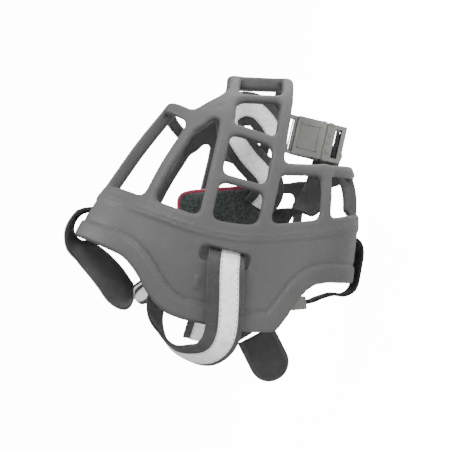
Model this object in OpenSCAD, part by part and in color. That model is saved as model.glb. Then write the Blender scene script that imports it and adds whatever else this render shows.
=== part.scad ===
// Basket muzzle: a moulded rubber cage on webbing straps with a side-release buckle.
// Millimetres. +X is forward to the nose, +Y is the dog's left, +Z is up.
// The origin is the centre of the rear snout opening.

/* [Basket] */
// Half width of the basket across the cheeks
cheek_half_width = 56; // [40:80]
// Distance from the widest ring to the nose bar
nose_reach = 97; // [70:130]
// Thickness of the moulded rubber
wall = 4.5; // [3:0.5:7]
// Width of the long rails
rail_width = 7.5; // [6:14]
// Width of the cage struts
strut_width = 7; // [6:14]
// Width of the short rungs between the rails
rung_width = 5; // [4:12]
// Height of the raised bead around the rear rim
bead = 1.3; // [0:0.1:3]

/* [Straps] */
// Width of the webbing
web_width = 19; // [15:25]
// Thickness of the webbing
web_thick = 1.6; // [1:0.1:3]
// Width of the reflective tape sewn on the webbing
tape_width = 9.6; // [6:14]
// Thickness of the reflective tape
tape_thick = 0.35; // [0.2:0.05:1]
// Thickness of the neck pad
pad_thick = 7; // [4:12]

/* [Buckle] */
// Width of the buckle
buckle_width = 22; // [20:32]
// Thickness of the buckle socket
buckle_thick = 8.4; // [6:0.2:12]
// Centre of the socket mouth
buckle_at = [80, 5, -47];

/* [Hidden] */
power = 2.4;
round_power = 2 / power;
rail_back = 10;
path_steps = 4;
gap = 0.1;

function unit(v) = v / norm(v);
function mix(a, b, t) = a + (b - a) * t;
function flip_y(p) = [p[0], -p[1], p[2]];
function flip_all(list) = [for (p = list) flip_y(p)];

// Height of the basket along its length, at the brow and under the chin.
function brow_z(x) = lookup(x, [[-40, 80], [-5, 76.4], [25, 66], [50, 56.3], [77, 43.5], [92, 33], [106, 20]]);
function chin_z(x) = lookup(x, [[-40, -79], [5, -76], [40, -72.3], [54, -69.8], [61, -66], [66, -61], [90, -46], [106, -26]]);
function half_width(x) = x <= rail_back ? cheek_half_width
    : cheek_half_width * sqrt(max(0, 1 - pow((x - rail_back) / nose_reach, 2)));
// The nose face leans back towards the brow.
function nose_lean(x, z) = let (t = min(1, max(0, (x - 55) / 45))) 0.2 * max(0, z + 17.6) * t * t * (3 - 2 * t);
function side_y(x, z) =
    let (mid = (brow_z(x) + chin_z(x)) / 2, half = (brow_z(x) - chin_z(x)) / 2)
    half_width(x + nose_lean(x, z)) * pow(max(0.001, 1 - pow(abs(z - mid) / half, power)), 1 / power);
// A point on the right side of the basket.
function skin_at(x, z) = [x, -side_y(x, z), z];
function skin_normal(x, z) = unit(cross(
    skin_at(x + 1, z) - skin_at(x - 1, z), skin_at(x, z + 1) - skin_at(x, z - 1)));

// Rear rim and front edge of the solid band, by height.
function rim_x(z) = lookup(z, [[-80, 3], [-70, 1], [-59, -1], [-51, -4], [-46.5, -8], [-42, -18], [-36, -32],
    [-22, -35], [0, -36], [13, -36], [20, -35], [26, -32], [33, -26], [37, -21], [41, -17], [47, -12.5],
    [55, -10], [68, -7.5], [80, -6]]);
function front_x(z) = lookup(z, [[-80, 43], [-75, 42], [-58, 34], [-40, 27], [-23, 21], [-8, 17],
    [5, 16], [19, 16.5], [30, 18], [45, 20], [60, 23], [80, 25]]);

// A point of the band: turn is the angle from the brow, positive to the right side.
function signed_pow(v) = sign(v) * pow(abs(v), round_power);
function band_z(turn) = 77 * signed_pow(cos(turn));
function band_at(turn, x) =
    let (mid = (brow_z(x) + chin_z(x)) / 2, half = (brow_z(x) - chin_z(x)) / 2)
    [x, -half_width(x) * signed_pow(sin(turn)), mid + half * signed_pow(cos(turn))];
function band_normal(turn, x) =
    let (a = turn - 1.5, b = turn + 1.5)
    unit(cross(band_at(b, x) - band_at(a, x), band_at(turn, x + 1) - band_at(turn, x - 1)));

// A closed shell between two grids of points, with one rectangular hole of cells.
module shell_solid(outer, inner, hole) {
    rows = len(outer) - 1;
    cols = len(outer[0]) - 1;
    size = (rows + 1) * (cols + 1);
    points = concat([for (r = outer) for (p = r) p], [for (r = inner) for (p = r) p]);
    open = [for (i = [0:rows - 1]) [for (j = [0:cols - 1])
        len(hole) == 4 && i >= hole[0] && i < hole[1] && j >= hole[2] && j < hole[3]]];
    skins = [for (i = [0:rows - 1]) for (j = [0:cols - 1]) if (!open[i][j])
        let (a = i * (cols + 1) + j, b = a + cols + 1, c = b + 1, d = a + 1)
        each [[a, b, c], [a, c, d], [a + size, c + size, b + size], [a + size, d + size, c + size]]];
    edges = concat(
        [for (i = [0:rows - 1]) [i * (cols + 1), (i + 1) * (cols + 1)]],
        [for (i = [0:rows - 1]) [(i + 1) * (cols + 1) + cols, i * (cols + 1) + cols]],
        [for (j = [0:cols - 1]) [j + 1, j]],
        [for (j = [0:cols - 1]) [rows * (cols + 1) + j, rows * (cols + 1) + j + 1]],
        len(hole) == 4 ? concat(
            [for (i = [hole[0]:hole[1] - 1]) [(i + 1) * (cols + 1) + hole[2], i * (cols + 1) + hole[2]]],
            [for (i = [hole[0]:hole[1] - 1]) [i * (cols + 1) + hole[3], (i + 1) * (cols + 1) + hole[3]]],
            [for (j = [hole[2]:hole[3] - 1]) [hole[0] * (cols + 1) + j, hole[0] * (cols + 1) + j + 1]],
            [for (j = [hole[2]:hole[3] - 1]) [hole[1] * (cols + 1) + j + 1, hole[1] * (cols + 1) + j]]) : []);
    walls = [for (e = edges) each [[e[1], e[0], e[0] + size], [e[1], e[0] + size, e[1] + size]]];
    polyhedron(points, concat(skins, walls));
}

// One piece of the solid band, with a strap slot.
module band_piece(turns, stations, raised, hole) {
    outer = [for (t = turns) [for (j = [0:len(stations(t)) - 1])
        band_at(t, stations(t)[j]) + band_normal(t, stations(t)[j]) * (wall / 2 + raised[j])]];
    inner = [for (t = turns) [for (j = [0:len(stations(t)) - 1])
        band_at(t, stations(t)[j]) - band_normal(t, stations(t)[j]) * wall / 2]];
    shell_solid(outer, inner, hole);
}

// Smooth path through points, and the same for the width directions.
function spline(p, i, t) =
    let (n = len(p) - 1, a = p[max(0, i - 1)], b = p[i], c = p[min(n, i + 1)], d = p[min(n, i + 2)])
    (2 * b + (c - a) * t + (2 * a - 5 * b + 4 * c - d) * t * t + (3 * b - a - 3 * c + d) * t * t * t) / 2;
function smooth(p, steps = path_steps) = concat(
    [for (i = [0:len(p) - 2]) for (k = [0:steps - 1]) spline(p, i, k / steps)], [p[len(p) - 1]]);
function tangent(p, i) = unit(p[min(len(p) - 1, i + 1)] - p[max(0, i - 1)]);

// A bar swept along a path. across gives the direction of its width at each point.
function bevel_section(w, t, c) = [[w / 2, t / 2 - c], [w / 2 - c, t / 2], [-w / 2 + c, t / 2],
    [-w / 2, t / 2 - c], [-w / 2, -t / 2 + c], [-w / 2 + c, -t / 2], [w / 2 - c, -t / 2], [w / 2, -t / 2 + c]];
function flat_section(w, t) = [[w / 2, t / 2], [-w / 2, t / 2], [-w / 2, -t / 2], [w / 2, -t / 2]];
module sweep(path, across, section, lift = 0) {
    n = len(path);
    m = len(section);
    rings = [for (i = [0:n - 1])
        let (t = tangent(path, i), nn = unit(cross(t, across[i])), w = cross(nn, t))
        for (s = section) path[i] + w * s[0] + nn * (s[1] + lift)];
    sides = [for (i = [0:n - 2]) for (j = [0:m - 1])
        let (a = i * m + j, b = i * m + (j + 1) % m, c = b + m, d = a + m)
        each [[a, b, c], [a, c, d]]];
    caps = [[for (j = [m - 1:-1:0]) j], [for (j = [0:m - 1]) (n - 1) * m + j]];
    polyhedron(rings, concat(sides, caps));
}

// A cage member that lies on the basket's skin through points given as [x, z].
module member(list, width) {
    flat = smooth(list);
    path = [for (p = flat) skin_at(p[0], p[1])];
    across = [for (i = [0:len(flat) - 1]) cross(tangent(path, i), skin_normal(flat[i][0], flat[i][1]))];
    sweep(path, across, bevel_section(width, wall, 1.2));
}
module left() {
    mirror([0, 1, 0]) children();
}

// Moulded band around the snout opening.
cheek_turns = [for (k = [0:32]) 44 + 3 * k];
brow_turns = [for (k = [0:22]) -44 + 4 * k];
chin_turns = [for (k = [0:20]) 140 + 4 * k];
cheek_stations = function (t) let (r = rim_x(band_z(t)), f = front_x(band_z(t)))
    [r, mix(r, -4.5, 0.22), mix(r, -4.5, 0.55), -4.5, 2.5, mix(2.5, f, 0.6), f];
brow_stations = function (t) let (r = rim_x(band_z(t)), f = front_x(band_z(t)))
    [r, mix(r, 7, 0.4), 7, 14, f];
chin_stations = function (t) let (r = rim_x(band_z(t)), f = front_x(band_z(t)))
    [r, mix(r, 22, 0.3), 24, 31, f];

module cheek_panel_right() {
    color("#707070") band_piece(cheek_turns, cheek_stations, [bead, bead, 0, 0, 0, 0.3, 0.3], [14, 18, 3, 4]);
}
module cheek_panel_left() {
    left() cheek_panel_right();
}
module brow_panel() {
    color("#707070") band_piece(brow_turns, brow_stations, [bead, bead, 0, 0, 0.3], [9, 13, 2, 3]);
}
module chin_panel() {
    color("#707070") band_piece(chin_turns, chin_stations, [bead, bead, 0, 0, 0.3], [8, 12, 2, 3]);
}

// Struts on the midline.
strut_depth = 7;
module brow_strut() {
    path = smooth([[21, 0, 67.2], [38, 0, 61.2], [56, 0, 53.8], [74, 0, 45]]);
    color("#707070") sweep(path, [for (p = path) [0, 1, 0]], bevel_section(strut_width + 2, strut_depth, 1.5), -1.2);
}
module chin_strut() {
    path = smooth([[38, 0, -72.4], [49, 0, -70.6], [58, 0, -67.4], [63, 0, -63.5]]);
    color("#707070") sweep(path, [for (p = path) [0, -1, 0]], bevel_section(strut_width + 2, strut_depth, 1.5), -1.2);
}
module side_strut_right() {
    color("#707070") member([[14, 43], [37, 37.4], [55, 31.3], [67, 27]], strut_width);
}
module side_strut_left() {
    left() side_strut_right();
}
module jaw_strut_right() {
    color("#707070") member([[29, -49], [43, -47.4], [55, -44.7]], strut_width);
}
module jaw_strut_left() {
    left() jaw_strut_right();
}

// The two long rails run from cheek to cheek around the nose.
function rail_at(turn, back_z, nose_z) =
    let (flat = rail_back + nose_reach * sin(turn), z = mix(back_z, nose_z, sin(turn)))
    let (x = flat - nose_lean(flat, z), side = turn < 90 ? -1 : 1)
    [x, side * side_y(x, z) * half_width(flat) / max(0.5, half_width(x + nose_lean(x, z))), z];
module rail(from, to, steps, back_z, nose_z) {
    path = [for (k = [0:steps]) rail_at(mix(from, to, k / steps), back_z, nose_z)];
    color("#707070") sweep(path, [for (p = path) [0, 0, 1]], bevel_section(rail_width, wall, 1.2));
}
module upper_rail_right() {
    rail(3, 52, 8, 12, 11.5);
}
module upper_rail_front() {
    rail(52, 128, 14, 12, 11.5);
}
module upper_rail_left() {
    rail(128, 177, 8, 12, 11.5);
}
module lower_rail_right() {
    rail(7, 52, 8, -17.6, -17.6);
}
module lower_rail_front() {
    rail(52, 128, 14, -17.6, -17.6);
}
module lower_rail_left() {
    rail(128, 173, 8, -17.6, -17.6);
}

// Rungs between the rails on each cheek, and the bars at the nose.
module rung_rear_right() {
    color("#707070") member([[38, 10], [37.5, -4], [37, -16]], rung_width);
}
module rung_rear_left() {
    left() rung_rear_right();
}
module rung_front_right() {
    color("#707070") member([[65, 10], [64, -4], [62.3, -16]], rung_width + 1.5);
}
module rung_front_left() {
    left() rung_front_right();
}
module side_bar_right() {
    color("#707070") member([[84, 10], [86.8, -4], [89.5, -16]], rung_width + 0.5);
}
module side_bar_left() {
    left() side_bar_right();
}
module nose_bar() {
    tip = nose_reach + rail_back - 1.4;
    path = [[tip - 0.4, 0, -15.5], [tip - 5.2, 0, 9.5]];
    color("#707070") sweep(path, [[0, 1, 0], [0, 1, 0]], bevel_section(rail_width + 2, strut_depth, 1.5));
}

// Hoops over the brow and under the chin.
function hoop_at(turn, height, half, mid_x, drop) =
    [mid_x - drop * pow(abs(turn) / 60, 1.4), -half * signed_pow(sin(turn)), height * signed_pow(cos(turn))];
module hoop(from, to, steps, height, half, mid_x, drop, lean) {
    path = [for (k = [0:steps]) hoop_at(mix(from, to, k / steps), height, half, mid_x, drop)];
    color("#707070") sweep(path, [for (p = path) lean], bevel_section(strut_width, wall, 1.2));
}
module brow_hoop() {
    hoop(-58, 58, 22, 43.5, 46, 75, 9, [1, 0, -0.35]);
}
module shoulder_right() {
    color("#707070") member([[66, 27.5], [72.5, 24], [79.5, 17], [84.5, 12]], strut_width + 1.5);
}
module shoulder_left() {
    left() shoulder_right();
}
module chin_hoop_right() {
    hoop(-1, 76, 16, -64.3, 50, 63.5, 10, [1, 0, 0.35]);
}
module chin_hoop_left() {
    left() chin_hoop_right();
}

// Webbing straps, given as points with the direction of the width at each.
module strap(points, across, width = web_width) {
    path = smooth(points);
    color("#2b2b2b") sweep(path, smooth(across), flat_section(width, web_thick));
}
module tape(points, across, side = 1, shift = 0) {
    path = smooth(points);
    section = [for (p = flat_section(tape_width, tape_thick)) p + [shift, 0]];
    color("#e8e8ea") sweep(path, smooth(across), section,
        side * (web_thick / 2 + tape_thick / 2 + gap));
}

neck_points = [[6, -49, -3], [1.5, -53, -3], [-0.5, -57.5, -3], [-3.5, -61.3, -3], [-10, -63, -4],
    [-24, -63.4, -7], [-38, -62, -9], [-47, -56, -7], [-52, -48, -1], [-53, -41, 9], [-48, -36, 18],
    [-38, -33, 25], [-26, -30, 25], [-13, -25, 18], [-4, -18, 8], [1, -10, 0], [4, -3.5, -3]];
neck_across = [[0, 0, 1], [0, 0, 1], [0, 0, 1], [0, 0, 1], [0, 0, 1], [0, 0, 1], [0, -0.1, 1],
    [0.25, -0.4, 1], [0.6, -0.8, 0.7], [0.3, -1, 0.2], [0.1, -1, 0.1], [-0.2, -0.9, 0.3],
    [-0.3, -0.7, 0.6], [-0.3, -0.3, 0.9], [-0.2, 0, 1], [0, 0, 1], [0, 0, 1]];
module neck_strap_right() {
    strap(neck_points, neck_across);
}
module neck_tape_right() {
    tape(neck_points, neck_across, -1, -1.8);
}

left_points = [[6, 49, -4], [1.5, 53, -4], [-0.5, 57.5, -4], [-3.5, 61.3, -4], [-10, 63, -5],
    [-24, 63.4, -6], [-38, 62, -6], [-47, 56, -5], [-50, 46, -4], [-44, 37, -4], [-28, 29, -5],
    [-12, 19, -6], [-2, 11, -7], [4, 3.5, -8]];
left_across = [for (p = left_points) [0, 0, -1]];
module neck_strap_left() {
    strap(left_points, left_across);
}
module neck_tape_left() {
    tape(left_points, left_across, -1);
}

brow_points = [[12.5, 0, 60], [11.6, 0, 67], [10.4, 0, 73], [7.5, 0, 78.8], [1.5, 0, 81.8], [-5, 0, 81.8],
    [-11, 0, 77.5], [-14, 0, 70], [-19, 0, 61.5], [-25, 0, 53.5], [-31, 0, 46.5], [-32.5, 0, 39], [-27, 0, 33.5],
    [-18, 0, 29.5], [-9, 0, 25.5], [-2, 0, 18], [4, 0, 11.5]];
brow_across = [[0, 1, 0], [0, 1, 0], [0, 1, 0], [0, 1, 0], [0, 1, 0], [0.1, 1, -0.1], [0.35, 0.85, -0.2],
    [0.55, 0.65, -0.35], [0.66, 0.5, -0.5], [0.66, 0.38, -0.6], [0.6, 0.4, -0.65], [0.3, 0.5, -0.75],
    [-0.1, 0.7, -0.6], [-0.1, 0.9, -0.3], [0, 1, 0], [0, 1, 0], [0, 1, 0]];
module forehead_strap() {
    strap(brow_points, brow_across);
}
module forehead_tape() {
    tape(brow_points, brow_across, -1);
}

throat_points = [[28, 0, -66], [28, 0, -73], [26.6, 0, -78], [21, 0, -80.9], [11, 0, -81.6], [1, 0, -81.4],
    [-4.2, 0, -77], [-5.2, 0, -70.5], [-9, 0, -63.5], [-12.6, 0, -57.9], [-17, 0, -44.7], [-13, 0, -36.5],
    [-4, 0, -30], [9, 0, -19]];
throat_across = [for (p = throat_points) [0, -1, 0]];
module throat_strap() {
    strap(throat_points, throat_across);
}
module throat_tape() {
    tape(throat_points, throat_across, -1);
}

socket_points = [[80, 5, -25], [79, 4.5, -18], [84, 2, -11.5], [87.5, -1, -4], [86, -4, 4], [79, -6, 9], [70, -7.5, 6],
    [59, -9, -5], [50, -10, -17], [41, -7, -21], [33, -2.5, -18]];
socket_across = [[1, 0, 0], [0.95, 0, -0.3], [0.75, 0, -0.65], [0.8, 0, -0.2], [0.6, -0.4, 0.7], [0.1, -0.6, 0.8],
    [-0.4, -0.3, 0.8], [-0.7, 0, 0.7], [-0.7, 0, 0.7], [-0.4, 0, 0.9], [-0.1, 0, 1]];
module socket_strap() {
    strap(socket_points, socket_across);
}
module socket_tape() {
    tape(socket_points, socket_across, -1);
}

plug_points = [[80, 3, -54.6], [80, 6, -54.6], [79.5, 9.5, -54.8], [77, 12, -54], [69, 12.5, -52.5],
    [58, 12, -51.5], [45, 11, -49], [35, 8, -40], [28, 4, -31], [25, 1, -22]];
plug_across = [[1, 0, 0], [1, 0, 0], [0.9, 0.3, -0.4], [0.3, 0, -1], [0, 0, -1],
    [0, 0, -1], [0.3, 0, -1], [0.7, 0, -0.7], [0.9, 0, -0.4], [1, 0, 0]];
module plug_strap() {
    strap(plug_points, plug_across, 16);
}

// Spare end of the neck strap, rounded at the tip.
tail_from = [-36.3, -28, -29.15];
tail_lean = -129.7;
tail_width = 21;
tail_points = [[-10, -8.5, -35], [-15, -16, -30], [-22, -24, -24.5], [-30.3, -28, -24.1], [-35.1, -28, -28.1]];
tail_across = [[0.1, 0, 1], [0, 0, 1], [-0.25, 0, 0.95], [-0.6, 0, 0.8], [-0.64, 0, 0.768]];
module tail_strap() {
    strap(tail_points, tail_across);
}
module strap_tail() {
    color("#242424") translate(tail_from) rotate([90, tail_lean, 0])
        linear_extrude(2.4, center = true) {
            translate([-tail_width / 2, 0]) square([tail_width, 16]);
            translate([0, 16]) circle(tail_width / 2);
        }
}

// Padded sleeve that lies on the neck, folded inside the basket.
pad_at = [21, 0, 0];
pad_lean = -18;
pad_size = [36, 48];
module pad_plane() {
    translate(pad_at) rotate([0, pad_lean, 0]) rotate([90, 0, 0]) children();
}
module neck_pad() {
    color("#1e1e1e") pad_plane() linear_extrude(pad_thick, center = true) {
        square([pad_size[0] - 6, pad_size[1]], center = true);
        square([pad_size[0], pad_size[1] - 6], center = true);
        for (sx = [-1, 1], sy = [-1, 1])
            translate([sx * (pad_size[0] / 2 - 3), sy * (pad_size[1] / 2 - 3)]) circle(3, $fn = 24);
    }
}
module pad_piping() {
    color("#7a2630") pad_plane() linear_extrude(2.4, center = true) difference() {
        square([pad_size[0] + 3, pad_size[1] + 3], center = true);
        square([pad_size[0] + 0.2, pad_size[1] + 0.2], center = true);
    }
}

// Hard plastic fittings.
module tri_glide() {
    color("#8e8f8a") translate([-14.9, 0, -51.2]) rotate([0, -18.4, 0]) difference() {
        cube([7, 25, 8], center = true);
        cube([4.4, 20.4, 10], center = true);
    }
}
module keeper_loop() {
    color("#303030") translate([-24, 63.6, -6]) difference() {
        cube([6, 5.4, 25], center = true);
        cube([7, 3.6, 21], center = true);
    }
}

module buckle_place() {
    translate(buckle_at) children();
}
module buckle_socket() {
    color("#8e8f8a") buckle_place() difference() {
        union() {
            translate([-buckle_width / 2, -buckle_thick / 2, 0]) cube([buckle_width, buckle_thick, 17]);
            translate([-buckle_width / 2, -2.2, 17]) cube([buckle_width, 4.4, 8]);
        }
        translate([-8.6, -2.6, -1]) cube([17.2, 5.2, 16]);
        for (s = [-1, 1]) translate([s * 11 - 3, -2.6, -1]) cube([6, 5.2, 14]);
        translate([-9.2, -4, 18.8]) cube([18.4, 8, 3.4]);
    }
}
module buckle_plug() {
    color("#8e8f8a") buckle_place() {
        difference() {
            translate([-buckle_width / 2, -3, -12]) cube([buckle_width, 6, 11.6]);
            translate([-8.6, -4, -9.4]) cube([17.2, 8, 3.6]);
        }
        translate([-1.5, -2, -0.5]) cube([3, 4, 13]);
    }
}
module prong(s) {
    color("#83847f") buckle_place() mirror([s < 0 ? 1 : 0, 0, 0]) {
        translate([5, -2, -0.1]) cube([2, 4, 8]);
        translate([5, -2, 6]) cube([5.8, 4, 6]);
    }
}
module prong_front() {
    prong(1);
}
module prong_rear() {
    prong(-1);
}

cheek_panel_right();
cheek_panel_left();
brow_panel();
chin_panel();
brow_strut();
chin_strut();
side_strut_right();
side_strut_left();
jaw_strut_right();
jaw_strut_left();
upper_rail_right();
upper_rail_front();
upper_rail_left();
lower_rail_right();
lower_rail_front();
lower_rail_left();
rung_rear_right();
rung_rear_left();
rung_front_right();
rung_front_left();
side_bar_right();
side_bar_left();
nose_bar();
brow_hoop();
shoulder_right();
shoulder_left();
chin_hoop_right();
chin_hoop_left();
neck_strap_right();
neck_tape_right();
neck_strap_left();
neck_tape_left();
forehead_strap();
forehead_tape();
throat_strap();
throat_tape();
socket_strap();
socket_tape();
plug_strap();
tail_strap();
strap_tail();
neck_pad();
pad_piping();
tri_glide();
keeper_loop();
buckle_socket();
buckle_plug();
prong_front();
prong_rear();
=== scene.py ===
"""Basket muzzle: a moulded rubber cage with reflective webbing straps and a side-release buckle."""
import math

import bpy
import numpy as np
from mathutils import Matrix, Vector


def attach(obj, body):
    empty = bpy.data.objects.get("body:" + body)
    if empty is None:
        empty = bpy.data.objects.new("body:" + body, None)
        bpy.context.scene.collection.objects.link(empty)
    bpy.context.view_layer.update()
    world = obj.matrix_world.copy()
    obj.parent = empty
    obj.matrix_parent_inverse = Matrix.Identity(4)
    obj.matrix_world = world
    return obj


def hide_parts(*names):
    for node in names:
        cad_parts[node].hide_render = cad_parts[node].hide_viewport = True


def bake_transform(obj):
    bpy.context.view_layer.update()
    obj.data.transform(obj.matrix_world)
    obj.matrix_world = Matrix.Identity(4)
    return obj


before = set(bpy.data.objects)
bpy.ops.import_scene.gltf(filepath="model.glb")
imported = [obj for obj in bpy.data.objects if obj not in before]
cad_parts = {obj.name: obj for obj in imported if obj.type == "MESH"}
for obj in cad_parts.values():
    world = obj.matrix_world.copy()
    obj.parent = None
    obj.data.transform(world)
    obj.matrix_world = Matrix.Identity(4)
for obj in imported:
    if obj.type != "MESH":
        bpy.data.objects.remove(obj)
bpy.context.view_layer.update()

MM = 0.001

# ---------------------------------------------------------------- camera and light

CAMERA_DISTANCE = 480
CAMERA_TARGET = (19.1, 0.0, -2.0)
TOWARD_REAR = math.radians(4.5)
TOWARD_BROW = math.radians(3.5)
NOSE_TILT = math.radians(13)
FIELD_MM = 256
SKY_LIGHT, SKY_SEEN = 0.55, 14.0
FLOOR_SEEN = 14.0


def add_camera():
    target = Vector(CAMERA_TARGET) * MM
    away = Vector((-math.sin(TOWARD_REAR), -1, math.sin(TOWARD_BROW))).normalized()
    up = Vector((math.cos(NOSE_TILT), 0, math.sin(NOSE_TILT)))
    right = up.cross(away).normalized()
    up = away.cross(right)
    data = bpy.data.cameras.new("camera")
    data.lens = data.sensor_width * CAMERA_DISTANCE / FIELD_MM
    data.clip_start = 0.01
    cam = bpy.data.objects.new("camera", data)
    bpy.context.collection.objects.link(cam)
    cam.location = target + away * CAMERA_DISTANCE * MM
    cam.rotation_mode = "QUATERNION"
    turn = [[right[i], up[i], away[i]] for i in range(3)]
    cam.rotation_quaternion = Matrix(turn).to_quaternion()
    bpy.context.scene.camera = cam


def add_light(name, place, size, power, aim=(0.02, 0, 0)):
    data = bpy.data.lights.new(name, "AREA")
    data.shape = "DISK"
    data.size = size
    data.energy = power
    lamp = bpy.data.objects.new(name, data)
    bpy.context.collection.objects.link(lamp)
    lamp.location = place
    lamp.rotation_mode = "QUATERNION"
    lamp.rotation_quaternion = (Vector(place) - Vector(aim)).to_track_quat("Z", "Y")


def add_world():
    world = bpy.data.worlds.new("studio")
    bpy.context.scene.world = world
    world.use_nodes = True
    sky = world.node_tree.nodes["Background"]
    sky.inputs["Color"].default_value = (1, 1, 1, 1)
    path = world.node_tree.nodes.new("ShaderNodeLightPath")
    level = world.node_tree.nodes.new("ShaderNodeMapRange")
    level.inputs["To Min"].default_value = SKY_LIGHT
    level.inputs["To Max"].default_value = SKY_SEEN
    world.node_tree.links.new(path.outputs["Is Camera Ray"], level.inputs["Value"])
    world.node_tree.links.new(level.outputs["Result"], sky.inputs["Strength"])


# ---------------------------------------------------------------- materials

class Nodes:
    """Short calls for building one material's node tree."""

    def __init__(self, name):
        self.material = bpy.data.materials.new(name)
        self.material.use_nodes = True
        self.tree = self.material.node_tree
        self.shader = self.tree.nodes["Principled BSDF"]

    def add(self, kind, **settings):
        node = self.tree.nodes.new(kind)
        for key, value in settings.items():
            if hasattr(node, key):
                setattr(node, key, value)
            else:
                node.inputs[key.replace("_", " ")].default_value = value
        return node

    def link(self, out, into):
        self.tree.links.new(out, into)

    def set(self, **values):
        for key, value in values.items():
            self.shader.inputs[key.replace("_", " ")].default_value = value

    def coords(self, kind="Object", scale=(1, 1, 1)):
        source = self.add("ShaderNodeTexCoord")
        mapping = self.add("ShaderNodeMapping")
        mapping.inputs["Scale"].default_value = scale
        self.link(source.outputs[kind], mapping.inputs["Vector"])
        return mapping.outputs["Vector"]

    def noise(self, vector, scale, detail=3.0, rough=0.55):
        node = self.add("ShaderNodeTexNoise", Scale=scale, Detail=detail, Roughness=rough)
        self.link(vector, node.inputs["Vector"])
        return node.outputs["Fac"]

    def ramp(self, factor, stops):
        node = self.add("ShaderNodeValToRGB")
        band = node.color_ramp
        while len(band.elements) < len(stops):
            band.elements.new(0.5)
        for element, (place, colour) in zip(band.elements, stops):
            element.position = place
            element.color = (*colour, 1)
        self.link(factor, node.inputs["Fac"])
        return node.outputs["Color"]

    def span(self, value, low, high, from_low=0.0, from_high=1.0):
        node = self.add("ShaderNodeMapRange")
        limits = (("From Min", from_low), ("From Max", from_high), ("To Min", low), ("To Max", high))
        for key, number in limits:
            node.inputs[key].default_value = number
        self.link(value, node.inputs["Value"])
        return node.outputs["Result"]

    def math(self, kind, a, b=None):
        node = self.add("ShaderNodeMath", operation=kind)
        for socket, value in zip(node.inputs, (a, b)):
            if value is None:
                continue
            if isinstance(value, (int, float)):
                socket.default_value = value
            else:
                self.link(value, socket)
        return node.outputs["Value"]

    def bump(self, height, depth, below=None, strength=1.0):
        node = self.add("ShaderNodeBump", Distance=depth, Strength=strength)
        self.link(height, node.inputs["Height"])
        if below is not None:
            self.link(below, node.inputs["Normal"])
        return node.outputs["Normal"]

    def colour(self, out):
        self.link(out, self.shader.inputs["Base Color"])

    def rough(self, out):
        self.link(out, self.shader.inputs["Roughness"])

    def normal(self, out):
        self.link(out, self.shader.inputs["Normal"])


def rubber(name, dark, light, roughness=(0.5, 0.66)):
    m = Nodes(name)
    where = m.coords()
    broad = m.noise(where, 38, 4)
    fine = m.noise(where, 900, 2)
    grain = m.noise(where, 3200, 2)
    m.colour(m.ramp(broad, [(0.3, dark), (0.72, light)]))
    m.rough(m.span(fine, *roughness, 0.3, 0.7))
    soft = m.bump(broad, 0.0006)
    mid = m.bump(fine, 0.00006, soft)
    m.normal(m.bump(grain, 0.00003, mid))
    m.set(Specular_IOR_Level=0.42)
    return m.material


def plastic(name, dark, light):
    m = Nodes(name)
    where = m.coords()
    broad = m.noise(where, 120, 3)
    grain = m.noise(where, 2600, 3)
    m.colour(m.ramp(broad, [(0.3, dark), (0.7, light)]))
    m.rough(m.span(grain, 0.36, 0.52, 0.3, 0.7))
    m.normal(m.bump(grain, 0.00004))
    m.set(Specular_IOR_Level=0.5)
    return m.material


RIB_PITCH = 1.5


def webbing(name, dark, light):
    """Ribbed webbing. The map runs in millimetres across and along the strap."""
    m = Nodes(name)
    across = m.coords("UV")
    ribs = m.add("ShaderNodeTexWave", wave_type="BANDS", bands_direction="X", wave_profile="SIN",
                 Scale=2 * math.pi / RIB_PITCH / 20 * 10, Distortion=0.0)
    m.link(across, ribs.inputs["Vector"])
    picks = m.add("ShaderNodeTexWave", wave_type="BANDS", bands_direction="Y", wave_profile="SIN",
                  Scale=2 * math.pi / 0.9 / 20 * 10, Distortion=0.6, Detail=1.0)
    m.link(across, picks.inputs["Vector"])
    fuzz = m.noise(across, 2.4, 4)
    weave = m.math("MULTIPLY", ribs.outputs["Fac"], picks.outputs["Fac"])
    worn = m.span(m.noise(across, 0.22, 3), 0.0, 0.35, 0.45, 0.7)
    mixed = m.math("ADD", m.math("MULTIPLY", weave, 0.7), m.math("MULTIPLY", fuzz, 0.5))
    m.colour(m.ramp(m.math("ADD", mixed, worn), [(0.2, dark), (0.9, light)]))
    m.rough(m.span(fuzz, 0.72, 0.95, 0.3, 0.7))
    low = m.bump(fuzz, 0.0001)
    m.normal(m.bump(weave, 0.00028, low))
    m.set(Sheen_Weight=0.25, Sheen_Roughness=0.5, Specular_IOR_Level=0.25)
    return m.material


TAPE_STITCH, STITCH_LONG = 4.1, 2.6


def stitch_mask(m, across, offset, pitch):
    """One where a stitch lies: two rows, offset millimetres either side of the middle."""
    parts = m.add("ShaderNodeSeparateXYZ")
    m.link(across, parts.inputs["Vector"])
    gap = m.math("ABSOLUTE", m.math("SUBTRACT", m.math("ABSOLUTE", parts.outputs["X"]), offset))
    row = m.math("LESS_THAN", gap, 0.22)
    along = m.math("FRACT", m.math("DIVIDE", parts.outputs["Y"], pitch))
    return m.math("MULTIPLY", row, m.math("LESS_THAN", along, 0.68))


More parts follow.
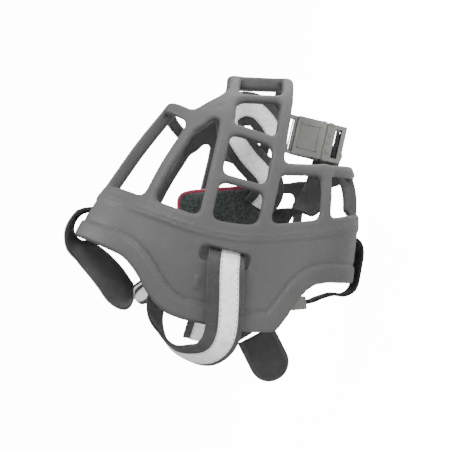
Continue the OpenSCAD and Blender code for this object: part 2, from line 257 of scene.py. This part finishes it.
def reflective(name):
    m = Nodes(name)
    across = m.coords("UV")
    cells = m.add("ShaderNodeTexVoronoi", feature="DISTANCE_TO_EDGE", Scale=1.9)
    m.link(across, cells.inputs["Vector"])
    soil = m.noise(across, 0.35, 4)
    clean = m.ramp(soil, [(0.28, (0.74, 0.74, 0.78)), (0.6, (0.93, 0.93, 0.96))])
    stitch = stitch_mask(m, across, TAPE_STITCH, STITCH_LONG)
    mix = m.add("ShaderNodeMix", data_type="RGBA")
    m.link(stitch, mix.inputs["Factor"])
    m.link(clean, mix.inputs["A"])
    mix.inputs["B"].default_value = (0.30, 0.30, 0.32, 1)
    m.colour(mix.outputs["Result"])
    m.rough(m.span(soil, 0.28, 0.5, 0.3, 0.7))
    edge = m.span(cells.outputs["Distance"], 0, 1, 0, 0.12)
    creases = m.bump(m.noise(across, 0.16, 3), 0.0012)
    m.normal(m.bump(stitch, -0.0002, m.bump(edge, 0.00006, creases)))
    m.set(Metallic=0.15, Specular_IOR_Level=0.6)
    return m.material


def mesh_fabric(name, dark, light):
    m = Nodes(name)
    where = m.coords()
    cells = m.add("ShaderNodeTexVoronoi", feature="F1", Scale=700)
    m.link(where, cells.inputs["Vector"])
    fuzz = m.noise(where, 1500, 3)
    m.colour(m.ramp(cells.outputs["Distance"], [(0.1, dark), (0.7, light)]))
    m.rough(m.span(fuzz, 0.8, 1.0, 0.3, 0.7))
    low = m.bump(fuzz, 0.00008)
    m.normal(m.bump(cells.outputs["Distance"], 0.0003, low))
    m.set(Sheen_Weight=0.3, Specular_IOR_Level=0.2)
    return m.material


def floor_material():
    m = Nodes("floor_white")
    grain = m.noise(m.coords(), 60, 2)
    m.colour(m.ramp(grain, [(0.3, (0.93, 0.93, 0.93)), (0.7, (0.97, 0.97, 0.97))]))
    path = m.add("ShaderNodeLightPath")
    m.link(m.span(path.outputs["Is Camera Ray"], 0.3, FLOOR_SEEN), m.shader.inputs["Emission Strength"])
    m.set(Roughness=0.9, Emission_Color=(1, 1, 1, 1), Specular_IOR_Level=0.1)
    return m.material


RUBBER = rubber("cage_rubber", (0.050, 0.050, 0.0495), (0.062, 0.062, 0.061))
WEB = webbing("webbing", (0.010, 0.010, 0.011), (0.046, 0.046, 0.050))
TAPE = reflective("reflective_tape")
PAD = mesh_fabric("pad_fabric", (0.008, 0.011, 0.010), (0.034, 0.042, 0.038))
PIPING = mesh_fabric("piping", (0.16, 0.012, 0.026), (0.30, 0.03, 0.06))
KEEPER = rubber("strap_rubber", (0.02, 0.02, 0.02), (0.04, 0.04, 0.04))
BUCKLE = plastic("buckle_plastic", (0.125, 0.127, 0.114), (0.155, 0.157, 0.142))
BINDING = webbing("binding", (0.035, 0.032, 0.032), (0.085, 0.078, 0.078))

# ---------------------------------------------------------------- the basket's skin, in millimetres

HALF_WIDTH = 56.0
WIDEST_AT = 10.0
NOSE_REACH = 97.0
POWER = 2.4
WALL = 4.5


def soft_table(xs, values, reach=6.0):
    """A look-up table with its corners rounded off over reach millimetres."""
    fine = np.arange(-130.0, 131.0, 1.0)
    raw = np.interp(fine, xs, values)
    weight = np.exp(-0.5 * (np.arange(-20, 21) / reach) ** 2)
    padded = np.pad(raw, 20, mode="edge")
    smooth = np.convolve(padded, weight / weight.sum(), mode="valid")
    return lambda x: np.interp(x, fine, smooth)


brow_z = soft_table([-40, -5, 25, 50, 77, 92, 106, 130], [80, 76.4, 66, 56.3, 43.5, 33, 20, 10])
chin_z = soft_table([-40, 5, 40, 54, 61, 66, 90, 106, 130], [-79, -76, -72.3, -69.8, -66, -61, -46, -26, -20])
rim_x = soft_table(
    [-80, -70, -59, -51, -46.5, -42, -36, -22, 0, 13, 20, 26, 33, 37, 41, 47, 55, 68, 80],
    [3, 1, -1, -4, -8, -18, -32, -35, -36, -36, -35, -32, -26, -21, -17, -12.5, -10, -7.5, -6], 1.6)
front_x = soft_table(
    [-80, -75, -58, -40, -23, -8, 5, 19, 30, 45, 60, 80],
    [43, 42, 34, 27, 21, 17, 16, 16.5, 18, 20, 23, 25], 4)


def half_width(x):
    past = np.clip((x - WIDEST_AT) / NOSE_REACH, 0, 1)
    return HALF_WIDTH * np.sqrt(1 - past ** 2)


def smooth_step(low, high, x):
    t = np.clip((x - low) / (high - low), 0, 1)
    return t * t * (3 - 2 * t)


def nose_lean(x, z):
    """How far the nose face leans back at a height, growing towards the nose."""
    return 0.2 * np.maximum(z + 17.6, 0) * smooth_step(55, 100, x)


def side_y(x, z, flat=None):
    mid = (brow_z(x) + chin_z(x)) / 2
    half = (brow_z(x) - chin_z(x)) / 2
    wide = half_width(x + nose_lean(x, z) if flat is None else flat)
    return wide * np.maximum(0.001, 1 - np.abs((z - mid) / half) ** POWER) ** (1 / POWER)


def skin_depth(x, y, z, step):
    """Signed distance from the basket's middle surface, positive outside."""
    mid = (brow_z(x) + chin_z(x)) / 2
    half = (brow_z(x) - chin_z(x)) / 2
    flat = x + nose_lean(x, z)
    wide = np.maximum(half_width(flat), 1.0)
    up = np.abs((z - mid) / half)
    ring = (np.abs(y / wide) ** POWER + up ** POWER) ** (1 / POWER)
    pinch = np.maximum(1 - np.minimum(up, 0.98) ** POWER, 0.02) ** (1 / POWER)
    ahead = np.maximum(flat - WIDEST_AT, 0) / NOSE_REACH
    nose = np.sqrt(ahead ** 2 + (y / (HALF_WIDTH * pinch)) ** 2)
    depth = []
    for form in (ring, nose):
        slope = np.sqrt(sum(g ** 2 for g in np.gradient(form, step)))
        depth.append((form - 1) / np.maximum(slope, 1e-4))
    share = smooth_step(84, 96, flat)
    return depth[0] * (1 - share) + depth[1] * share


def soft_min(a, b, blend):
    h = np.maximum(blend - np.abs(a - b), 0) / blend
    return np.minimum(a, b) - h * h * blend / 4


def soft_max(a, b, blend):
    return -soft_min(-a, -b, blend)


def on_skin(points):
    """Points of the right half of the basket from [x, z] pairs."""
    path = spline_path(np.array(points, float), 5)
    return np.column_stack([path[:, 0], -side_y(path[:, 0], path[:, 1]), path[:, 1]])


def spline_path(points, steps):
    """A smooth path through the points."""
    p = np.vstack([points[:1], points, points[-1:]])
    out = []
    for i in range(1, len(p) - 2):
        a, b, c, d = p[i - 1:i + 3]
        for k in range(steps):
            t = k / steps
            out.append((2 * b + (c - a) * t + (2 * a - 5 * b + 4 * c - d) * t ** 2
                        + (3 * b - a - 3 * c + d) * t ** 3) / 2)
    out.append(points[-1])
    return np.array(out)


def distance_to_path(cloud, path):
    """Squared distance from each point of the cloud to a polyline."""
    best = np.full(len(cloud), 1e9)
    for a, b in zip(path[:-1], path[1:]):
        ab = b - a
        t = np.clip((cloud - a) @ ab / max(ab @ ab, 1e-9), 0, 1)
        gap = cloud - a - t[:, None] * ab
        best = np.minimum(best, (gap * gap).sum(1))
    return best


def rail_path(back_turn, back_z, nose_z):
    turn = np.radians(np.linspace(back_turn, 90, 26))
    flat = WIDEST_AT + NOSE_REACH * np.sin(turn)
    z = back_z + (nose_z - back_z) * np.sin(turn)
    x = flat - nose_lean(flat, z)
    return np.column_stack([x, -side_y(x, z, flat), z])


def hoop_path(first, last, height, half, mid_x, drop):
    turn = np.radians(np.linspace(first, last, 24))
    lean = mid_x - drop * (np.abs(turn) / math.radians(60)) ** 1.4
    return np.column_stack([
        lean, -half * np.sin(turn) ** (2 / POWER), height * np.cos(turn) ** (2 / POWER)])


STRUT, RAIL, RUNG = 6.4, 6.6, 4.2
MEMBERS = [
    (on_skin([[14, 43], [37, 37.4], [55, 31.3], [67, 27]]), STRUT),
    (on_skin([[66, 27.5], [72.5, 24], [79.5, 17], [84.5, 12]]), STRUT + 1.8),
    (on_skin([[70, 24.5], [71.5, 18], [72, 13]]), STRUT),
    (on_skin([[29, -49], [43, -47.4], [55, -44.7]]), STRUT - 0.6),
    (rail_path(3, 12, 11.5), RAIL),
    (rail_path(3, -17.6, -17.6), RAIL),
    (on_skin([[38, 10], [37.5, -4], [37, -16]]), RUNG),
    (on_skin([[65, 10], [64, -4], [62.3, -16]]), RUNG + 1.8),
    (on_skin([[84, 10], [86.8, -4], [89.5, -16]]), RUNG + 0.6),
    (np.array([[107.0, 0, -16], [101.2, 0, 10]]), RAIL + 2.4),
    (hoop_path(0, 58, 43.5, 46, 75, 9), STRUT + 0.4),
    (hoop_path(0, 76, -64.3, 50, 63.5, 10), STRUT + 0.4),
    (spline_path(np.array([[21, 0, 67.2], [38, 0, 61.2], [56, 0, 53.8], [74, 0, 45]]), 5), STRUT + 2.4),
    (spline_path(np.array([[38, 0, -72.4], [49, 0, -70.6], [58, 0, -67.4], [63, 0, -63.5]]), 5), STRUT + 2.4),
]


def edge_path(table):
    """The line round the right half of the band where x follows the table, from brow to chin."""
    turn = np.radians(np.linspace(0, 180, 110))
    c, s = np.cos(turn), np.sin(turn)
    x = table(77 * np.sign(c) * np.abs(c) ** (2 / POWER))
    for _ in range(3):
        mid = (brow_z(x) + chin_z(x)) / 2
        z = mid + (brow_z(x) - mid) * np.sign(c) * np.abs(c) ** (2 / POWER)
        x = table(z)
    return np.column_stack([x, -half_width(x) * s ** (2 / POWER), z])


CAGE_STEP = 0.85
FILLET = 4.5
MIDLINE_DEPTH = 2.6


def rounded_rect(u, v, half_u, half_v, radius):
    du = np.abs(u) - half_u + radius
    dv = np.abs(v) - half_v + radius
    return np.hypot(np.maximum(du, 0), np.maximum(dv, 0)) + np.minimum(np.maximum(du, dv), 0) - radius


def cage_field(step):
    """The cage as a field on a grid of the right half: negative inside the rubber."""
    low = np.array([-46.0, -66.0, -92.0])
    count = [int(156 / step), int(66 / step), int(182 / step)]
    low[1] = -count[1] * step
    axes = [low[i] + step * np.arange(count[i] + 1) for i in range(3)]
    x, y, z = np.meshgrid(*axes, indexing="ij")
    depth = skin_depth(x, y, z, step)
    field = np.full(x.shape, 5.0)
    near = np.abs(depth) < 6
    cloud = np.column_stack([x[near], y[near], z[near]])
    dn = depth[near]
    cx, cy, cz = cloud.T
    edges = []
    for table, sign in ((rim_x, 1), (front_x, -1)):
        gap = np.sqrt(np.maximum(distance_to_path(cloud, edge_path(table)) - dn ** 2, 0))
        edges.append(np.where((table(cz) - cx) * sign > 0, gap, -gap))
    rim, front = edges
    flat = soft_max(rim, front, 2)
    for path, width in MEMBERS:
        off = np.sqrt(np.maximum(distance_to_path(cloud, path) - dn ** 2, 0)) - width / 2
        flat = soft_min(flat, off, FILLET)
    slots = [
        rounded_rect(cx + 1, cz + 2.0, 3.4, 12.4, 2.4) + 50 * (cy > -30),
        rounded_rect(cx - 10.5, cy, 3.4, 11.4, 2.4) + 50 * (cz < 40),
        rounded_rect(cx - 27.5, cy, 3.4, 11.4, 2.4) + 50 * (cz > -40)]
    for slot in slots:
        flat = soft_max(flat, -slot, 1.0)
    border = 1 - smooth_step(8.6, 9.6, -rim)
    in_band = 1 - smooth_step(-1.0, 0.5, front)
    ridges = np.exp(-(((-front - 6.0) / 0.6) ** 2)) + np.exp(-(((-front - 8.2) / 0.6) ** 2))
    step = smooth_step(8.6, 9.8, -front)
    seam = np.exp(-(((-rim - 10.4) / 0.7) ** 2))
    label = rounded_rect(cx + 16.5, cz - 9, 3.4, 1.8, 0.8)
    mark = (1 - smooth_step(-0.7, 0.2, label)) * (cy < -30)
    outer = WALL / 2 + 0.7 * mark + 0.8 * border + in_band * (0.55 * ridges - 0.3 * step) - 0.75 * seam
    midline = (1 - smooth_step(3.6, 5.4, np.abs(cy))) * smooth_step(0.5, 3.5, front)
    skin = np.maximum(dn - outer, -dn - WALL / 2 - MIDLINE_DEPTH * midline)
    edge = 1.7
    a, b = skin + edge, flat + edge
    field[near] = np.hypot(np.maximum(a, 0), np.maximum(b, 0)) + np.minimum(np.maximum(a, b), 0) - edge
    whole = np.concatenate([field, field[:, -2::-1, :]], axis=1)
    return whole, low


def surface_net(field, low, step):
    """Points and quads of the surface where the field crosses zero."""
    inside = field < 0
    size = [n - 1 for n in field.shape]
    corners = [(i, j, k) for i in (0, 1) for j in (0, 1) for k in (0, 1)]
    total = sum(inside[i:i + size[0], j:j + size[1], k:k + size[2]].astype(np.int8) for i, j, k in corners)
    cells = np.argwhere((total > 0) & (total < 8))
    index = np.full(size, -1, np.int64)
    index[tuple(cells.T)] = np.arange(len(cells))
    place = np.zeros((len(cells), 3))
    hits = np.zeros(len(cells))
    for axis in range(3):
        ahead = np.eye(3, dtype=int)[axis]
        for corner in corners:
            if corner[axis]:
                continue
            start = cells + corner
            end = start + ahead
            v0 = field[tuple(start.T)]
            v1 = field[tuple(end.T)]
            cross = (v0 < 0) != (v1 < 0)
            t = v0[cross] / (v0[cross] - v1[cross])
            place[cross] += start[cross] + t[:, None] * ahead
            hits[cross] += 1
    points = place / hits[:, None] * step + low
    quads = []
    for axis in range(3):
        b, c = (axis + 1) % 3, (axis + 2) % 3
        first = [slice(1, -1)] * 3
        first[axis] = slice(0, -1)
        second = list(first)
        second[axis] = slice(1, None)
        lower = inside[tuple(first)]
        change = np.argwhere(lower != inside[tuple(second)])
        leaving = lower[tuple(change.T)]
        shift = np.array([0 if i == axis else 1 for i in range(3)])
        cell = change + shift
        step_b, step_c = np.eye(3, dtype=int)[b], np.eye(3, dtype=int)[c]
        ring = [index[tuple((cell - s).T)] for s in (0, step_b, step_b + step_c, step_c)]
        ring = np.column_stack(ring)
        ring[~leaving] = ring[~leaving][:, ::-1]
        quads.append(ring)
    return points, np.vstack(quads)


def mesh_object(name, points, faces, material, smooth=True):
    mesh = bpy.data.meshes.new(name)
    mesh.from_pydata((np.asarray(points) * MM).tolist(), [], [list(map(int, f)) for f in faces])
    mesh.update()
    thing = bpy.data.objects.new(name, mesh)
    bpy.context.collection.objects.link(thing)
    mesh.materials.append(material)
    mesh.polygons.foreach_set("use_smooth", [smooth] * len(mesh.polygons))
    return thing


CAGE_NODES = [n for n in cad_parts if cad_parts[n] and any(
    word in n for word in ("panel", "strut", "rail", "rung", "side_bar", "nose_bar", "hoop", "shoulder"))]


def make_cage():
    field, low = cage_field(CAGE_STEP)
    points, quads = surface_net(field, low, CAGE_STEP)
    cage = mesh_object("basket", points, quads, RUBBER)
    relax = cage.modifiers.new("relax", "SMOOTH")
    relax.factor = 0.5
    relax.iterations = 2
    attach(cage, "basket")
    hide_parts(*CAGE_NODES)


# ---------------------------------------------------------------- webbing

WEB_WIDTH, WEB_THICK = 19.0, 1.6
TAPE_WIDTH, TAPE_THICK = 9.6, 0.35


def path_frames(points, across, steps=8):
    path = spline_path(np.array(points, float), steps)
    hint = spline_path(np.array(across, float), steps)
    ahead = np.gradient(path, axis=0)
    ahead /= np.linalg.norm(ahead, axis=1)[:, None]
    normal = np.cross(ahead, hint)
    normal /= np.linalg.norm(normal, axis=1)[:, None]
    width = np.cross(normal, ahead)
    return path, width, normal


def ribbon(name, points, across, width, thick, lift, material, body="basket", steps=8, shift=0.0):
    """A flat woven band along a path, with a map in millimetres."""
    path, side, normal = path_frames(points, across, steps)
    half, edge = width / 2, min(thick / 2, 0.7)
    outline = []
    for k in range(9):
        outline.append((-half + (width * k / 8), thick / 2))
    for k in range(9):
        outline.append((half - (width * k / 8), -thick / 2))
    outline = np.array(outline)
    outline[[0, 8, 9, 17], 0] *= 1 - edge * 0.5 / half
    count = len(outline)
    rings = [path[i] + side[i] * (u + shift) + normal[i] * (v + lift)
             for i in range(len(path)) for u, v in outline]
    faces = [(i * count + j, i * count + (j + 1) % count,
              (i + 1) * count + (j + 1) % count, (i + 1) * count + j)
             for i in range(len(path) - 1) for j in range(count)]
    last = (len(path) - 1) * count
    faces += [tuple(range(count - 1, -1, -1)), tuple(range(last, last + count))]
    thing = mesh_object(name, rings, faces, material)
    length = np.concatenate([[0], np.cumsum(np.linalg.norm(np.diff(path, axis=0), axis=1))])
    layer = thing.data.uv_layers.new(name="UVMap")
    for loop in thing.data.loops:
        ring, corner = divmod(loop.vertex_index, count)
        layer.data[loop.index].uv = (outline[corner][0], length[ring])
    round_off = thing.modifiers.new("round", "BEVEL")
    round_off.width = 0.25 * MM
    round_off.segments = 2
    round_off.limit_method = "ANGLE"
    round_off.angle_limit = math.radians(50)
    if body:
        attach(thing, body)
    return thing


def strap(name, points, across, node, tape_node=None, side=-1, width=WEB_WIDTH, shift=0.0):
    band = ribbon(name, points, across, width, WEB_THICK, 0, WEB)
    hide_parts(node)
    if tape_node:
        lift = side * (WEB_THICK / 2 + TAPE_THICK / 2)
        shine = ribbon(name + "_tape", points, across, TAPE_WIDTH, TAPE_THICK, lift, TAPE, shift=shift)
        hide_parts(tape_node)
    return band


NECK = [[6, -49, -3], [1.5, -53, -3], [-0.5, -57.5, -3], [-3.5, -61.3, -3], [-10, -63, -4],
        [-24, -63.4, -7], [-38, -62, -9], [-47, -56, -7], [-52, -48, -1], [-53, -41, 9], [-48, -36, 18],
        [-38, -33, 25], [-26, -30, 25], [-13, -25, 18], [-4, -18, 8], [1, -10, 0], [4, -3.5, -3]]
NECK_ACROSS = [[0, 0, 1]] * 6 + [[0, -0.1, 1], [0.25, -0.4, 1], [0.6, -0.8, 0.7], [0.3, -1, 0.2],
                                 [0.1, -1, 0.1],
                                 [-0.2, -0.9, 0.3], [-0.3, -0.7, 0.6], [-0.3, -0.3, 0.9], [-0.2, 0, 1],
                                 [0, 0, 1], [0, 0, 1]]
NECK_LEFT = [[6, 49, -4], [1.5, 53, -4], [-0.5, 57.5, -4], [-3.5, 61.3, -4], [-10, 63, -5],
             [-24, 63.4, -6], [-38, 62, -6], [-47, 56, -5], [-50, 46, -4], [-44, 37, -4], [-28, 29, -5],
             [-12, 19, -6], [-2, 11, -7], [4, 3.5, -8]]
FOREHEAD = [[12.5, 0, 60], [11.6, 0, 67], [10.4, 0, 73], [7.5, 0, 78.8], [1.5, 0, 81.8], [-5, 0, 81.8],
            [-11, 0, 77.5], [-14, 0, 70], [-19, 0, 61.5], [-25, 0, 53.5], [-31, 0, 46.5], [-32.5, 0, 39],
            [-27, 0, 33.5], [-18, 0, 29.5], [-9, 0, 25.5], [-2, 0, 18], [4, 0, 11.5]]
FOREHEAD_ACROSS = [[0, 1, 0]] * 5 + [[0.1, 1, -0.1], [0.35, 0.85, -0.2], [0.55, 0.65, -0.35],
                                     [0.66, 0.5, -0.5], [0.66, 0.38, -0.6], [0.6, 0.4, -0.65],
                                     [0.3, 0.5, -0.75], [-0.1, 0.7, -0.6],
                                     [-0.1, 0.9, -0.3], [0, 1, 0], [0, 1, 0], [0, 1, 0]]
THROAT = [[28, 0, -66], [28, 0, -73], [26.6, 0, -78], [21, 0, -80.9], [11, 0, -81.6], [1, 0, -81.4],
          [-4.2, 0, -77], [-5.2, 0, -70.5], [-9, 0, -63.5], [-12.6, 0, -57.9], [-17, 0, -44.7],
          [-13, 0, -36.5], [-4, 0, -30], [9, 0, -19]]
SOCKET = [[80, 5, -25], [79, 4.5, -18], [84, 2, -11.5], [87.5, -1, -4], [86, -4, 4], [79, -6, 9],
          [70, -7.5, 6],
          [59, -9, -5], [50, -10, -17], [41, -7, -21], [33, -2.5, -18]]
SOCKET_ACROSS = [[1, 0, 0], [0.95, 0, -0.3], [0.75, 0, -0.65], [0.8, 0, -0.2], [0.6, -0.4, 0.7],
                 [0.1, -0.6, 0.8],
                 [-0.4, -0.3, 0.8], [-0.7, 0, 0.7], [-0.7, 0, 0.7], [-0.4, 0, 0.9], [-0.1, 0, 1]]
PLUG = [[80, 3, -54.6], [80, 6, -54.6], [79.5, 9.5, -54.8], [77, 12, -54], [69, 12.5, -52.5],
        [58, 12, -51.5], [45, 11, -49], [35, 8, -40], [28, 4, -31], [25, 1, -22]]
PLUG_ACROSS = [[1, 0, 0], [1, 0, 0], [0.9, 0.3, -0.4], [0.3, 0, -1], [0, 0, -1],
               [0, 0, -1], [0.3, 0, -1], [0.7, 0, -0.7], [0.9, 0, -0.4], [1, 0, 0]]
TAIL_LINK = [[-10, -8.5, -35], [-15, -16, -30], [-22, -24, -24.5], [-30.3, -28, -24.1], [-35.1, -28, -28.1]]
TAIL_ACROSS = [[0.1, 0, 1], [0, 0, 1], [-0.25, 0, 0.95], [-0.6, 0, 0.8], [-0.64, 0, 0.768]]


def make_straps():
    strap("neck_band_right", NECK, NECK_ACROSS, "neck_strap_right", "neck_tape_right", shift=-1.8)
    strap("neck_band_left", NECK_LEFT, [[0, 0, -1]] * len(NECK_LEFT), "neck_strap_left", "neck_tape_left", -1)
    strap("forehead_band", FOREHEAD, FOREHEAD_ACROSS, "forehead_strap", "forehead_tape")
    edge = ribbon("forehead_edge", FOREHEAD[3:], FOREHEAD_ACROSS[3:], 1.5, 0.5, -1.1, TAPE, shift=-8.6)
    strap("throat_band", THROAT, [[0, -1, 0]] * len(THROAT), "throat_strap", "throat_tape")
    strap("socket_band", SOCKET, SOCKET_ACROSS, "socket_strap", "socket_tape")
    strap("tail_band", TAIL_LINK, TAIL_ACROSS, "tail_strap")
    plug = ribbon("plug_band", PLUG, PLUG_ACROSS, 16, WEB_THICK, 0, WEB, body=None)
    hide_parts("plug_strap")
    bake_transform(plug)


TAIL_FROM = np.array([-36.3, -28, -29.15])
TAIL_ALONG = np.array([-0.7694, 0, -0.6388])
TAIL_ACROSS_END = np.array([-0.6388, 0, 0.7694])
TAIL_WIDTH, TAIL_LONG = 21.0, 26.5


def make_tail():
    """The spare strap end: webbing with a bound edge, rounded at the tip."""
    reach = np.concatenate([np.linspace(0, 15.5, 10), 16 + 10.4 * np.sin(np.linspace(0, math.pi / 2, 12))])
    sag = -0.9 * np.sin(reach / TAIL_LONG * math.pi)
    centre = TAIL_FROM + np.outer(reach, TAIL_ALONG) + np.outer(sag, [0, 1, 0])
    past = np.clip((reach - 16) / 10.5, 0, 1)
    half = TAIL_WIDTH / 2 * np.sqrt(1 - past ** 2) + 0.05
    for name, scale, thick, material in (
            ("tail_web", 0.92, 1.7, WEB), ("tail_binding", 1.0, 2.3, BINDING)):
        rows = []
        for c, h in zip(centre, half):
            for u in np.linspace(-1, 1, 9):
                rows.append(c + TAIL_ACROSS_END * u * h * scale)
        count = 9
        faces = [(i * count + j, i * count + j + 1, (i + 1) * count + j + 1, (i + 1) * count + j)
                 for i in range(len(centre) - 1) for j in range(count - 1)
                 if name == "tail_web" or j in (0, count - 2) or i >= len(centre) - 5]
        sheet = mesh_object(name, rows, faces, material)
        layer = sheet.data.uv_layers.new(name="UVMap")
        for loop in sheet.data.loops:
            ring, corner = divmod(loop.vertex_index, count)
            layer.data[loop.index].uv = ((corner - 4) / 4 * half[ring] * scale, reach[ring])
        body = sheet.modifiers.new("thick", "SOLIDIFY")
        body.thickness = thick * MM
        body.offset = 0
        soft = sheet.modifiers.new("soft", "BEVEL")
        soft.width = 0.35 * MM
        soft.segments = 2
        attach(sheet, "tail")
        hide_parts("strap_tail")


PAD_AT, PAD_LEAN = np.array([21.0, 0, 0]), math.radians(-18)
PAD_HALF, PAD_THICK = (18.0, 24.0), 7.0


def pad_point(u, v, w):
    """A point of the pad: u across it, v along it, w through it."""
    c, s = math.cos(PAD_LEAN), math.sin(PAD_LEAN)
    return PAD_AT + np.array([u * c + v * s, w, -u * s + v * c])


def make_pad():
    """The quilted neck sleeve and the piping round its edge."""
    across, along = 26, 38
    points, faces = [], []
    for side in (-1, 1):
        for i in range(along + 1):
            for j in range(across + 1):
                a, b = 2 * j / across - 1, 2 * i / along - 1
                u = PAD_HALF[0] * a * math.sqrt(1 - 0.06 * b ** 4)
                v = PAD_HALF[1] * b * math.sqrt(1 - 0.06 * a ** 4)
                plump = (max(1 - a ** 4, 0) * max(1 - b ** 4, 0)) ** 0.4
                quilt = 1 - 0.28 * math.exp(-((abs(v) - 8) / 1.1) ** 2)
                ripple = 0.25 * math.sin(v * 0.9 + 2 * a) * (1 - plump * 0.6)
                points.append(pad_point(u, v, side * PAD_THICK / 2 * plump * quilt + ripple))
    size = (across + 1) * (along + 1)
    for i in range(along):
        for j in range(across):
            a = i * (across + 1) + j
            quad = (a, a + 1, a + across + 2, a + across + 1)
            faces.append(quad[::-1])
            faces.append(tuple(k + size for k in quad))
    pad = mesh_object("neck_sleeve", points, faces, PAD)
    weld = pad.modifiers.new("weld", "WELD")
    weld.merge_threshold = 0.02 * MM
    fine = pad.modifiers.new("fine", "SUBSURF")
    fine.levels = fine.render_levels = 1
    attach(pad, "basket")
    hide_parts("neck_pad")
    ring, tube = [], []
    for turn in np.linspace(0, 2 * math.pi, 97)[:-1]:
        c, s = math.cos(turn), math.sin(turn)
        ring.append((PAD_HALF[0] * abs(c) ** 0.28 * np.sign(c), PAD_HALF[1] * abs(s) ** 0.28 * np.sign(s)))
    for k, (u, v) in enumerate(ring):
        nu, nv = np.array(ring[(k + 1) % 96]) - np.array(ring[k - 1])
        out = np.array([nv, -nu]) / max(math.hypot(nu, nv), 1e-6)
        for turn in np.linspace(0, 2 * math.pi, 9)[:-1]:
            bulge = 1.15 * math.cos(turn)
            tube.append(pad_point(u + out[0] * bulge, v + out[1] * bulge, 1.15 * math.sin(turn)))
    faces = [(k * 8 + j, k * 8 + (j + 1) % 8, ((k + 1) % 96) * 8 + (j + 1) % 8, ((k + 1) % 96) * 8 + j)
             for k in range(96) for j in range(8)]
    piping = mesh_object("sleeve_piping", tube, faces, PIPING)
    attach(piping, "basket")
    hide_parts("pad_piping")


def block(name, low, high, material, body, width=0.5):
    """A box with softened edges, given by two corners in millimetres."""
    corners = [[(low, high)[i][0], (low, high)[j][1], (low, high)[k][2]]
               for i in (0, 1) for j in (0, 1) for k in (0, 1)]
    faces = [(0, 1, 3, 2), (4, 6, 7, 5), (0, 4, 5, 1), (2, 3, 7, 6), (0, 2, 6, 4), (1, 5, 7, 3)]
    piece = mesh_object(name, corners, faces, material, smooth=False)
    soft = piece.modifiers.new("soft", "BEVEL")
    soft.width = width * MM
    soft.segments = 3
    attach(piece, body)
    return piece


BUCKLE_AT = np.array([80.0, 5, -47])


def make_buckle_trim():
    """Raised rim, grip ridges and guard lugs of the buckle."""
    def part(name, low, high, body, width=0.4):
        return block(name, BUCKLE_AT + low, BUCKLE_AT + high, BUCKLE, body, width)
    for k, x in enumerate((-7.6, 6.6)):
        part(f"socket_rim_{k}", (x, -4.6, 3), (x + 1.0, -4.1, 15), "basket")
    for k, z in enumerate((3.0, 14.0)):
        part(f"socket_bar_{k}", (-7.6, -4.6, z), (7.6, -4.1, z + 1.0), "basket")
    for k in range(4):
        part(f"socket_grip_{k}", (-9.5, -2.9, 17.6 + 1.9 * k), (9.5, -2.1, 18.4 + 1.9 * k), "basket", 0.3)
    for k, x in enumerate((-11.6, 9.4)):
        part(f"socket_lug_{k}", (x, -3.6, 0.4), (x + 2.2, 3.6, 3.4), "basket", 0.8)
        part(f"plug_lug_{k}", (x, -3.4, -4.4), (x + 2.2, 3.4, -0.8), "plug", 0.8)
    for k in range(3):
        part(f"plug_grip_{k}", (-6 + 5 * k - 0.7, -3.5, -3.4), (-6 + 5 * k + 1.7, -2.9, -2.2), "plug", 0.25)
    for name in ("buckle_socket", "buckle_plug", "prong_front", "prong_rear", "tri_glide", "keeper_loop"):
        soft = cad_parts[name].modifiers.new("soft", "BEVEL")
        soft.width = 0.55 * MM
        soft.segments = 3
        soft.limit_method = "ANGLE"
        soft.angle_limit = math.radians(40)


# ---------------------------------------------------------------- everything

def paint(node, material):
    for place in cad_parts[node].material_slots:
        place.material = material


def add_floor():
    floor = mesh_object("floor", [[-900, -900, -96], [900, -900, -96], [900, 900, -96], [-900, 900, -96]],
                        [(0, 1, 2, 3)], floor_material())


add_camera()
add_world()
add_light("key", (0.45, -0.6, 0.45), 0.35, 8)
add_light("fill", (-0.3, -0.8, -0.1), 0.8, 2.6)
add_light("top", (0.75, 0.15, 0.1), 0.5, 4.5)
add_light("brow_rim", (0.05, 0.1, 0.8), 0.4, 5)
make_cage()
make_straps()
make_tail()
make_pad()
make_buckle_trim()
for node in ("buckle_socket", "buckle_plug", "prong_front", "prong_rear", "tri_glide"):
    paint(node, BUCKLE)
paint("keeper_loop", KEEPER)
add_floor()
